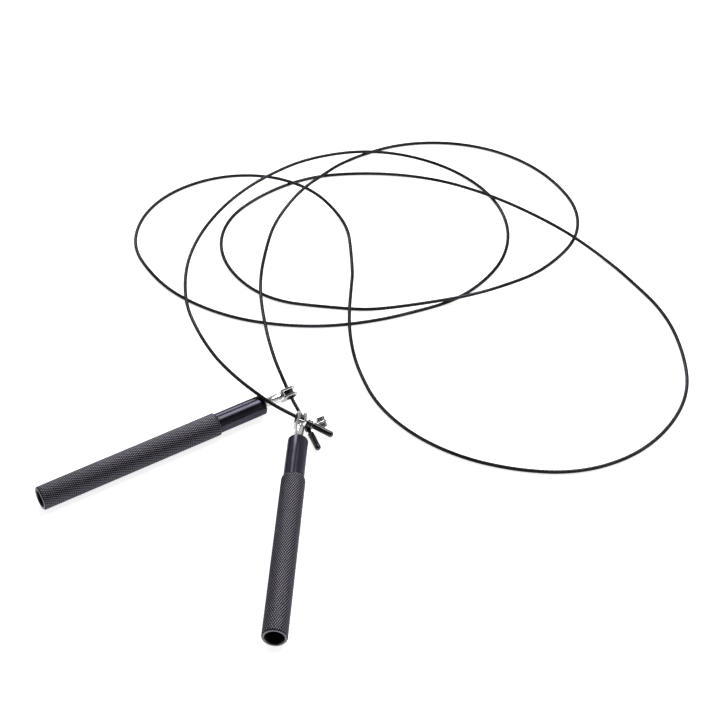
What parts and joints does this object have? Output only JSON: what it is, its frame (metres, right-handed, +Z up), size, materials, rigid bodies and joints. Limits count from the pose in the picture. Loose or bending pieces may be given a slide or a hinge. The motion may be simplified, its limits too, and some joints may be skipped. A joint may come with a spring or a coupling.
{
  "type": "jump rope",
  "caption": "Speed jump rope lying in loose loops: two knurled tube handles on ball bearings, forked spindles and one coated wire cable with stops and end caps.",
  "frame": {"origin": "on the floor, under the middle of the whole outline", "axes": "+Z up from the floor; +Y away from the handles towards the far loops, the longest way across; +X to the right"},
  "size_m": [0.435, 0.528, 0.0178],
  "materials": {
    "black_anodised": "black anodised, knurled grip, satin neck",
    "cable_coating": "smooth black coating, strands showing faintly",
    "wire_steel": "drawn wire",
    "chrome": "polished plate",
    "bright_steel": "turned",
    "bearing_steel": "ground",
    "ball_steel": "polished",
    "cage_brass": "stamped",
    "dark_steel": "dark oxide",
    "black_nylon": "moulded",
    "black_rubber": "glossy moulded"
  },
  "bodies": {
    "rope": {"cable_jacket": "cable_coating", "wire_core": "wire_steel"},
    "left_handle": {"left_tube": "black_anodised", "left_front_outer_race": "bearing_steel", "left_rear_outer_race": "bearing_steel"},
    "left_fork": {"left_spindle": "chrome", "left_eye_bushes": "black_nylon", "left_front_inner_race": "bearing_steel", "left_rear_inner_race": "bearing_steel", "left_bearing_spacer": "bright_steel", "left_lock_washer": "bright_steel", "left_lock_nut": "bright_steel"},
    "left_ball_sets": {"left_front_balls": "ball_steel", "left_rear_balls": "ball_steel", "left_front_cage": "cage_brass", "left_rear_cage": "cage_brass"},
    "left_stop": {"left_stop_barrel": "dark_steel"},
    "left_screw": {"left_thumbscrew": "chrome"},
    "left_cap": {"left_end_cap": "black_rubber"},
    "right_handle": {"right_tube": "black_anodised", "right_front_outer_race": "bearing_steel", "right_rear_outer_race": "bearing_steel"},
    "right_fork": {"right_spindle": "chrome", "right_eye_bushes": "black_nylon", "right_front_inner_race": "bearing_steel", "right_rear_inner_race": "bearing_steel", "right_bearing_spacer": "bright_steel", "right_lock_washer": "bright_steel", "right_lock_nut": "bright_steel"},
    "right_ball_sets": {"right_front_balls": "ball_steel", "right_rear_balls": "ball_steel", "right_front_cage": "cage_brass", "right_rear_cage": "cage_brass"},
    "right_stop": {"right_stop_barrel": "dark_steel"},
    "right_screw": {"right_set_screw": "bright_steel"},
    "right_cap": {"right_end_cap": "black_rubber"}
  },
  "joints": [
    {"name": "left_eye_turn", "type": "hinge", "parent": "rope", "child": "left_fork", "pos_m": [-0.05873, -0.05192, 0.008], "axis": [-0.4707, 0.7332, 0.4907], "range_deg": [-25, 0]},
    {"name": "left_handle_spin", "type": "hinge", "parent": "left_fork", "child": "left_handle", "pos_m": [-0.0764, -0.06327, 0.008], "axis": [0.8415, 0.5402, 0], "continuous": true},
    {"name": "left_ball_run", "type": "hinge", "parent": "left_fork", "child": "left_ball_sets", "pos_m": [-0.0764, -0.06327, 0.008], "axis": [0.8415, 0.5402, 0], "continuous": true},
    {"name": "left_stop_slide", "type": "slide", "parent": "rope", "child": "left_stop", "axis": [0.3711, -0.9278, -0.0393], "range_m": [-0.001, 0.0004]},
    {"name": "left_screw_turn", "type": "hinge", "parent": "left_stop", "child": "left_screw", "pos_m": [-0.04574, -0.08094, 0.00309], "axis": [0.9204, 0.3619, 0.1477], "continuous": true},
    {"name": "left_cap_pull", "type": "slide", "parent": "rope", "child": "left_cap", "axis": [0.3711, -0.9278, -0.0393], "range_m": [0, 0.014]},
    {"name": "right_eye_turn", "type": "hinge", "parent": "rope", "child": "right_fork", "pos_m": [-0.05023, -0.07992, 0.0102], "axis": [-0.9414, 0.0486, 0.3337], "range_deg": [0, 110]},
    {"name": "right_handle_spin", "type": "hinge", "parent": "right_fork", "child": "right_handle", "pos_m": [-0.0514, -0.10089, 0.00995], "axis": [0.0558, 0.9984, 0.012], "continuous": true},
    {"name": "right_ball_run", "type": "hinge", "parent": "right_fork", "child": "right_ball_sets", "pos_m": [-0.0514, -0.10089, 0.00995], "axis": [0.0558, 0.9984, 0.012], "continuous": true},
    {"name": "right_stop_slide", "type": "slide", "parent": "rope", "child": "right_stop", "axis": [0.8916, -0.3157, -0.3246], "range_m": [-0.0005, 0.0004]},
    {"name": "right_screw_turn", "type": "hinge", "parent": "right_stop", "child": "right_screw", "pos_m": [-0.04408, -0.0821, 0.00796], "axis": [0.306, -0.1083, 0.9459], "continuous": true},
    {"name": "right_cap_pull", "type": "slide", "parent": "rope", "child": "right_cap", "axis": [0.8916, -0.3157, -0.3246], "range_m": [0, 0.014]}
  ],
  "couplings": [
    {"joint": "left_ball_run", "follows": "left_handle_spin", "ratio": 0.6067},
    {"joint": "right_ball_run", "follows": "right_handle_spin", "ratio": 0.6067}
  ]
}
